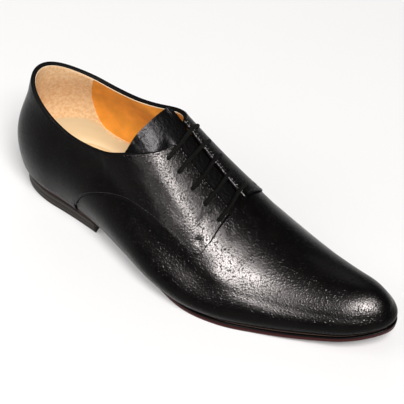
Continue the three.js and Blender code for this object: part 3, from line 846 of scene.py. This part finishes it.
# How far forward the suede reaches, by its height on the wall
COUNTER_HEIGHT = (0, 0.17, 0.19, 0.205, 0.22, 0.26, 0.33, 0.42, 0.52, 0.65, 0.8, 0.93, 1)
COUNTER_FRONT = (0.42, 0.42, 0.32, 0.21, 0.160, 0.130, 0.114, 0.105, 0.099, 0.095, 0.096, 0.101, 0.104)


def make_counter_lining():
    """Suede over the heel counter inside, with a curved front edge that runs out low along the sock."""
    share = 1 - np.cos(np.linspace(0, math.pi / 2, 71))
    share, side = both_sides(share)
    rows = chain(np.linspace(0, 0.16, 8), np.linspace(0.16, 0.3, 22), np.linspace(0.3, 1, 30))
    at = share[:, None] * np.interp(rows, COUNTER_HEIGHT, COUNTER_FRONT)[None]
    side = side[:, None] * np.ones_like(at)
    rim = last_point(at, rim_drop(at, side, LINING_TOP + 0.5), side)[..., 2]
    base = last_point(at, 0.0, side)[..., 2]
    turn = turn_at_z(at, side, base + (rim - base) * rows[None])
    points = on_last(at, turn, side, -WALL - 0.4)
    piece = sheet_mesh("counter_lining", points)
    thicken(piece, 0.5, 0.2, 2)
    return dress(piece, None, SUEDE)


def seam_row(side_value, inset, lift=LAYER + 0.02, front=0.575):
    """A path on the quarter, inset from its lower seam and then from its front edge."""
    places = chain(
        0.2165 + 0.0135 * np.linspace(0, 1, 30) ** 2,
        np.linspace(0.23, 0.56, 150),
        np.linspace(0.56, front, 30),
    )
    side = np.full(len(places), float(side_value))
    turn = turn_at_z(places, side, seam_z(places))
    edge = last_point(places, turn, side)
    tangent = np.gradient(edge, axis=0)
    tangent /= np.linalg.norm(tangent, axis=1, keepdims=True)
    normal = last_normal(places, turn, side)
    inwards = np.cross(normal, tangent) * side_value
    inwards *= np.sign(inwards[:, 2:3].mean())
    path = edge + inwards * inset + normal * lift
    return path, normal


def front_row(side_value, inset, lift=LAYER + 0.02):
    """A path just behind the quarter's front edge, from the seam's corner up to the facing."""
    side = np.full(40, float(side_value))
    at = np.full(40, QUARTER_FRONT - inset / LAST_LENGTH)
    low = turn_at_z(at, side, seam_z(at) + inset * 0.6)
    high = turn_at_off(at, side, np.full(40, HALF_THROAT + 4))
    turn = low + (high - low) * np.linspace(0, 1, 40)
    return on_last(at, turn, side, lift), last_normal(at, turn, side)


def facing_row(side_value, inset, front=0.570, lift=LAYER + 0.02):
    """A path beside the facing's edge, and back along the topline."""
    places = chain(np.linspace(0.335, 0.40, 30), np.linspace(0.40, 0.44, 30), np.linspace(0.44, front, 60))
    side = np.full(len(places), float(side_value))
    turn = rim_drop(places, side, inset)
    return on_last(places, turn, side, lift), last_normal(places, turn, side)


def bar_tack(side_value):
    """Four short close stitches across the quarter's lower front corner."""
    rows = []
    for step in range(4):
        at = 0.5555 + 0.0021 * step + np.array([0.0, 0.0035])
        turn = 0.548 + 0.005 * step + np.array([0.0, 0.028])
        side = np.full(2, float(side_value))
        rows.append((on_last(at, turn, side, LAYER), last_normal(at, turn, side)))
    return rows


def make_stitching():
    """Thread along the seams, the dyed cut edges beside it thickened into beads that paint a shadow line,
    and the bar tacks.
    """
    seam = []
    front = []
    facing = []
    tack = []
    for side, word in ((OUTER, "outer"), (INNER, "inner")):
        seam.append(seam_row(side, 1.7))
        front.append(front_row(side, 1.5))
        facing.append(facing_row(side, 1.9))
        tack += bar_tack(side)
        # painted shadow: dull black beads at the foot of the seam and the front edge, wider than the cut
        # edge, drawing the shadow line of the step
        edges = (
            ("seam", seam_row(side, -0.1, 0.3, QUARTER_FRONT), 0.3),
            ("front", front_row(side, -0.45, 0.3), 0.5),
        )
        for place, (path, _), radius in edges:
            piece = tube(f"{word}_{place}_edge", round_path(path, 1.5, 1), radius, 8)
            dress(piece, "black_calf", CUT_EDGE_AND_SHADOW)
    for name, rows in (("seam_stitching", seam), ("front_stitching", front), ("facing_stitching", facing)):
        dress(stitches(name, rows), "black_calf", THREAD)
    dress(stitches("bar_tack", tack, 3.0, 2.6, 0.55, 0.45), "black_calf", THREAD)


make_quarters()
make_vamp()
make_lining()
make_counter_lining()
make_stitching()

# Tongue

# The tongue's top edge, from its outer side (-1) over the crest (0) to its inner side (1)
TONGUE_EDGE = {
    "at": (-1, -0.86, -0.59, -0.275, 0, 0.3, 0.6, 0.85, 1),
    "top": (0.321, 0.332, 0.344, 0.3565, 0.3605, 0.361, 0.3622, 0.3645, 0.370),
}
TONGUE_END = 0.615
TONGUE_OUTER = 0.40
TONGUE_INNER = 0.86
TONGUE_FRONT = 0.72
TONGUE_COLUMNS = 90
TONGUE_ROWS = 110


def step_between(x, low, high):
    t = np.clip((x - low) / (high - low), 0, 1)
    return t * t * (3 - 2 * t)


def tongue_grid():
    """The tongue under the facings: v runs forwards from its top edge, u from outer to inner side."""
    v = np.linspace(0, 1, TONGUE_COLUMNS + 1)[:, None]
    u = np.linspace(-1, 1, TONGUE_ROWS + 1)[None]
    start = curve(TONGUE_EDGE, "top", u)
    at = start + (TONGUE_END - start) * v
    top = np.where(u < 0, TONGUE_OUTER, TONGUE_INNER)
    edge = top + (TONGUE_FRONT - top) * np.where(u < 0, v, step_between(v, 0.12, 0.32))
    turn = 1 - (1 - edge) * np.abs(u)
    side = np.where(u < 0, OUTER, INNER) * np.ones_like(at)
    point = last_point(at, turn, side)
    off = np.abs(point[..., 1] - last_point(at, 1.0, side)[..., 1])
    under = step_between(off, HALF_THROAT, HALF_THROAT + HOLE_INSET / 2) * (LACE + CLEARANCE)
    free = np.where(side < 0, 0.9, 0.2) * step_between(off, 0, 30)
    held = step_between(at, 0.395, 0.425)
    proud = 0.5 * step_between(u, 0.15, 1.1) * (1 - step_between(at, 0.37, 0.41))
    depth = WALL + CLEARANCE + under * held + free * (1 - held) - proud
    # the skived edge is crinkled by its stitching
    edge_way = (at - start) * LAST_LENGTH
    crinkle = np.sin(u * 47) * 0.5 + np.sin(u * 29 + 1.3) * 0.5 + np.sin(u * 83 + at * 90) * 0.25
    depth = depth + 0.16 * crinkle * np.exp(-((edge_way / 6) ** 2)) * step_between(np.abs(u), 0.1, 0.35)
    depth = depth + 0.35 * np.exp(-(((edge_way - 2.2) / 0.7) ** 2))
    return point - last_normal(at, turn, side) * depth[..., None]


def make_tongue():
    piece = sheet_mesh("tongue_leather", tongue_grid())
    thicken(piece, TONGUE, 0.4, 3)
    return dress(piece, "tongue_calf", TONGUE_CALF, stands_for=("tongue",))


make_tongue()

# Sole, heel and sock


def feather_point(at, side, out):
    """The feather line in plan, moved outwards along its own normal."""
    step = 1e-4
    at, side, out = np.broadcast_arrays(*(np.asarray(v, float) for v in (at, side, out)))
    along = last_point(at + step, 0.0, side) - last_point(at - step, 0.0, side)
    normal = np.stack([along[..., 1], -along[..., 0]], -1) * -side[..., None]
    normal = normal / (np.linalg.norm(normal, axis=-1, keepdims=True) + 1e-12)
    return last_point(at, 0.0, side)[..., :2] + normal * out[..., None]


def sole_ring(heel_count=24, middle_count=90, toe_count=26):
    """Places all round the sole, along the outer side to the toe and back on the inner side."""
    middle = np.linspace(HEEL_ROUND, TOE_ROUND, middle_count)
    places = chain(heel_places(heel_count), middle, toe_places(toe_count))
    at = np.concatenate([places, places[::-1]])
    side = np.concatenate([np.full(len(places), OUTER), np.full(len(places), INNER)]).astype(float)
    return at, side


def slab(name, at, side, edge, profile):
    """A flat piece whose edge has a profile. Its rows give the share from the middle line to the edge, how
    far the edge is moved in, and the height."""
    middle = np.stack([at * LAST_LENGTH, curve(PLAN, "mid", at) * BALL_WIDTH], -1)
    rows = []
    for out, inset, height in profile:
        plan = feather_point(at, side, edge - inset)
        plan = middle + (plan - middle) * out
        rows.append(np.concatenate([plan, height(plan[:, 0])[:, None]], 1))
    points = np.stack(rows, 1)
    uvs = lengths_uv(points)
    uvs[..., 1] = (points[..., 2] - ground(points[..., 0])) / OUTSOLE
    return sheet_mesh(name, points, uvs=uvs, closed=True)


def make_outsole():
    at, side = sole_ring()
    edge = curve(PLAN, "edge", at)
    top = lambda drop: (lambda x: ground(x) + OUTSOLE - drop)
    low = lambda rise: (lambda x: ground(x) + rise)
    profile = [
        (0, 0, top(0)),
        (0.5, 0, top(0)),
        (0.9, 0, top(0)),
        (1, 0.9, top(0)),
        (1, 0.35, top(0.12)),
        (1, 0.08, top(0.4)),
        (1, 0, top(0.9)),
        (1, 0, top(1.5)),
        (1, 0.0, low(1.9)),
        (1, 0.05, low(1.2)),
        (1, 0.25, low(0.6)),
        (1, 0.6, low(0.2)),
        (1, 1.2, low(0)),
        (0.9, 0, low(0)),
        (0.5, 0, low(0)),
        (0, 0, low(0)),
    ]
    piece = slab("sole", at, side, edge, profile)
    return dress(piece, "sole_leather", SOLE_EDGE, stands_for=("outsole",))


def make_sock():
    """The sock fills the floor of the shoe out to the lining."""
    at, side = sole_ring(20, 70, 20)
    middle = np.stack([at * LAST_LENGTH, curve(PLAN, "mid", at) * BALL_WIDTH], -1)
    rows = []
    profile = (
        (0, INSOLE),
        (0.5, INSOLE),
        (0.85, INSOLE),
        (1, INSOLE),
        (1, 0.6),
        (0.95, 0.3),
        (0.5, 0),
        (0, 0),
    )
    for out, rise in profile:
        turn = turn_at_z(at, side, ground(at * LAST_LENGTH) + FEATHER + max(rise, 0.3))
        plan = on_last(at, turn, side, -WALL - CLEARANCE)[:, :2]
        plan = middle + (plan - middle) * out
        rows.append(np.concatenate([plan, (ground(plan[:, 0]) + FEATHER + rise)[:, None]], 1))
    points = np.stack(rows, 1)
    piece = sheet_mesh("sock", points, uvs=lengths_uv(points), closed=True)
    return dress(piece, "cream_leather", SOCK, stands_for=("insole",))


def make_painted_welt_highlight():
    """A thin tan cord round the forepart that paints the light line of highlight between the upper and the
    sole.
    """
    places = chain(np.linspace(0.52, TOE_ROUND, 60), toe_places(26))
    at = np.concatenate([places, places[::-1][1:]])
    side = np.concatenate([np.full(len(places), OUTER), np.full(len(places) - 1, INNER)]).astype(float)
    plan = feather_point(at, side, 0.5)
    path = np.concatenate([plan, (ground(at * LAST_LENGTH) + OUTSOLE + 0.2)[:, None]], 1)
    piece = tube("welt_line", round_path(path, 1.5, 1), 0.22, 8)
    return dress(piece, "sole_leather", WELT_HIGHLIGHT_PAINT)


def heel_outline(inset):
    """The heel's plan: round the back, and straight but slightly hollow across the breast."""
    front = HEEL_LENGTH / LAST_LENGTH
    places = chain(heel_places(24), np.linspace(HEEL_ROUND, front, 26))
    at, side = both_sides(places)
    rim = feather_point(at, side, curve(PLAN, "edge", at) - inset)
    breast = np.linspace(0, 1, 25)[1:-1]
    start, end = rim[-1], rim[0]
    y = start[1] + (end[1] - start[1]) * breast
    x = start[0] + (end[0] - start[0]) * breast - BREAST_HOLLOW * (1 - (2 * breast - 1) ** 2)
    ring = np.concatenate([rim, np.stack([x, y], -1)])
    return np.concatenate([ring, ring[:1]])


def block(name, rows):
    """A closed block: rows of (share from the middle, inset, height)."""
    stack = []
    for share, inset, height in rows:
        ring = heel_outline(inset)
        centre = np.array([HEEL_LENGTH * 0.5, 0.0])
        plan = centre + (ring - centre) * share
        stack.append(np.concatenate([plan, np.broadcast_to(height(plan[:, 0]), len(plan))[:, None]], 1))
    points = np.stack(stack, 1)
    uvs = lengths_uv(points)
    uvs[..., 1] = points[..., 2] * MM
    return sheet_mesh(name, points, uvs=uvs, closed=True)


def make_heel():
    """The stack of lifts, with one groove half way up, and the rubber top piece under it."""
    level = lambda share, rise=0.0: (lambda x: TOP_PIECE + (ground(x) - TOP_PIECE) * share + rise)
    rows = [
        (0, 0, level(1)),
        (0.6, 0, level(1)),
        (1, 0.5, level(1)),
        (1, 0.15, level(1, -0.2)),
        (1, 0, level(1, -0.6)),
        (1, 0, level(0.5, 0.35)),
        (1, 0.22, level(0.5, 0.08)),
        (1, 0.22, level(0.5, -0.08)),
        (1, 0, level(0.5, -0.35)),
        (1, 0.05, level(0, 0.3)),
        (1, 0.3, level(0)),
        (0.6, 0, level(0)),
        (0, 0, level(0)),
    ]
    piece = block("heel_stack", rows)
    dress(piece, "heel_stack", HEEL_EDGE, stands_for=("heel_base",))
    flat = lambda z: (lambda x: np.full_like(x, z))
    taper = HEEL_TAPER / 2
    rows = [
        (0, 0, flat(TOP_PIECE)),
        (0.6, 0, flat(TOP_PIECE)),
        (1, 0.35, flat(TOP_PIECE)),
        (1, 0.1, flat(TOP_PIECE - 0.25)),
        (1, taper * 0.5, flat(1.4)),
        (1, taper, flat(0.5)),
        (1, taper + 0.35, flat(0)),
        (0.6, 0, flat(0)),
        (0, 0, flat(0)),
    ]
    piece = block("heel_top", rows)
    return dress(piece, "heel_rubber", HEEL_RUBBER, stands_for=("heel_top_piece",))


make_outsole()
make_painted_welt_highlight()
make_sock()
make_heel()

# Laces

# The lace holes: their places along the last and how far off the crest line they are
OUTER_HOLES = (0.425, 0.456, 0.495, 0.532, 0.572)
INNER_HOLES = (0.418, 0.453, 0.487, 0.525, 0.561)
OUTER_OFF = 20
INNER_OFF = 15


def over_last(at, off, lift):
    """A point a plan distance off the crest line, lifted off the last."""
    side = np.array([float(OUTER if off < 0 else INNER)])
    at = np.array([float(at)])
    turn = turn_at_off(at, side, abs(off))
    return on_last(at, turn, side, lift)[0]


def lace_points():
    """Five bars across the throat, joined by hidden runs, and a run back under the inner facing."""
    radius = LACE / 2
    over = LAYER + CLEARANCE + radius
    under = -(WALL + CLEARANCE + radius)
    bend = LACE_BEND
    halves = []
    for places, hole, side in ((OUTER_HOLES, OUTER_OFF, OUTER), (INNER_HOLES, INNER_OFF, INNER)):
        way = [
            (hole, under),
            (hole, over - 2 * bend),
            (hole - bend / 2, over - bend / 2),
            (hole - 1.5 * bend, over),
            ((hole + HALF_THROAT) / 2, over),
            (HALF_THROAT, over),
        ]
        halves.append([[over_last(at, side * off, lift) for off, lift in way] for at in places])
    points = []
    for i, (outer, inner) in enumerate(zip(*halves)):
        first, last = (outer, inner) if i % 2 == 0 else (inner, outer)
        points += first + last[::-1]
    for i, at in enumerate(reversed(INNER_HOLES)):
        shift = LACE / LAST_LENGTH if i == 0 else 0
        points.append(over_last(at - shift, INNER_OFF + LACE + CLEARANCE, under))
    return np.array(points)


def make_laces():
    piece = tube("lace", round_path(lace_points()), LACE / 2 + CORD_PROUD)
    return dress(piece, "waxed_cord", CORD, stands_for=("laces",))


make_laces()

# Stage


WHITE = (1, 1, 1)
KEY_WHITE = (1, 0.98, 0.97)
GLOSS_WHITE = (1, 0.95, 0.96)
GLOSSY = (
    "quarters",
    "vamp",
    "tongue_leather",
    "seam_stitching",
    "front_stitching",
    "facing_stitching",
)
# Lights: direction, distance and size in metres, power in watts, colour, and the only pieces that they
# are mirrored in, or none where they light everything
LIGHTS = (
    ("key", (0.375, -0.375, 0.848), 2.2, (0.7, 0.7), 60, KEY_WHITE, ()),
    ("gloss", (0.435, -0.435, 0.788), 1.3, (0.3, 0.3), 165, GLOSS_WHITE, GLOSSY),
    ("high_gloss", (0.46, -0.10, 0.88), 1.3, (0.3, 0.3), 32, GLOSS_WHITE, GLOSSY),
    ("low_gloss", (0.20, -0.64, 0.74), 1.3, (0.25, 0.25), 16, GLOSS_WHITE, GLOSSY),
    ("quarter_gloss", (0.05, -0.95, 0.31), 1.3, (0.25, 0.15), 10, GLOSS_WHITE, ("quarters",)),
    ("back", (-0.55, 0.62, 0.56), 1.5, (1.2, 0.8), 4.5, WHITE, ()),
    ("side", (-0.55, -0.6, 0.58), 1.5, (1.0, 0.8), 8, WHITE, ()),
)
FLOOR_GREY = (0.55, 0.55, 0.55)
FLOOR_GLOW = 0.24
WORLD_LIGHT = 0.12


def soft_box(name, direction, distance, size, power, colour, only):
    data = bpy.data.lights.new(name, "AREA")
    data.shape = "RECTANGLE"
    data.size, data.size_y = size
    data.energy = power
    data.color = colour
    light = bpy.data.objects.new(name, data)
    towards = Vector(direction).normalized()
    light.location = towards * distance
    light.rotation_euler = towards.to_track_quat("Z", "Y").to_euler()
    if only:
        light.visible_diffuse = False
        lit = bpy.data.collections.new(name)
        for piece in only:
            lit.objects.link(bpy.data.objects[piece])
        light.light_linking.receiver_collection = lit
    bpy.context.scene.collection.objects.link(light)


def make_stage():
    """The floor, the world's light and the soft boxes."""
    bm = bmesh.new()
    bmesh.ops.create_grid(bm, x_segments=1, y_segments=1, size=4)
    mesh = bpy.data.meshes.new("floor")
    bm.to_mesh(mesh)
    bm.free()
    floor = bpy.data.objects.new("floor", mesh)
    bpy.context.scene.collection.objects.link(floor)
    paper = Finish("pale_floor", 0.9)
    paper.set("Base Color", FLOOR_GREY)
    paper.set("Emission Color", (1, 0.985, 0.97))
    paper.set("Emission Strength", FLOOR_GLOW)
    mesh.materials.append(paper.material)
    world = bpy.data.worlds.new("studio")
    world.use_nodes = True
    world.node_tree.nodes["Background"].inputs[0].default_value = (1, 1, 1, 1)
    world.node_tree.nodes["Background"].inputs[1].default_value = WORLD_LIGHT
    bpy.context.scene.world = world
    for light in LIGHTS:
        soft_box(*light)
    bpy.context.scene.view_settings.view_transform = "Standard"


make_stage()
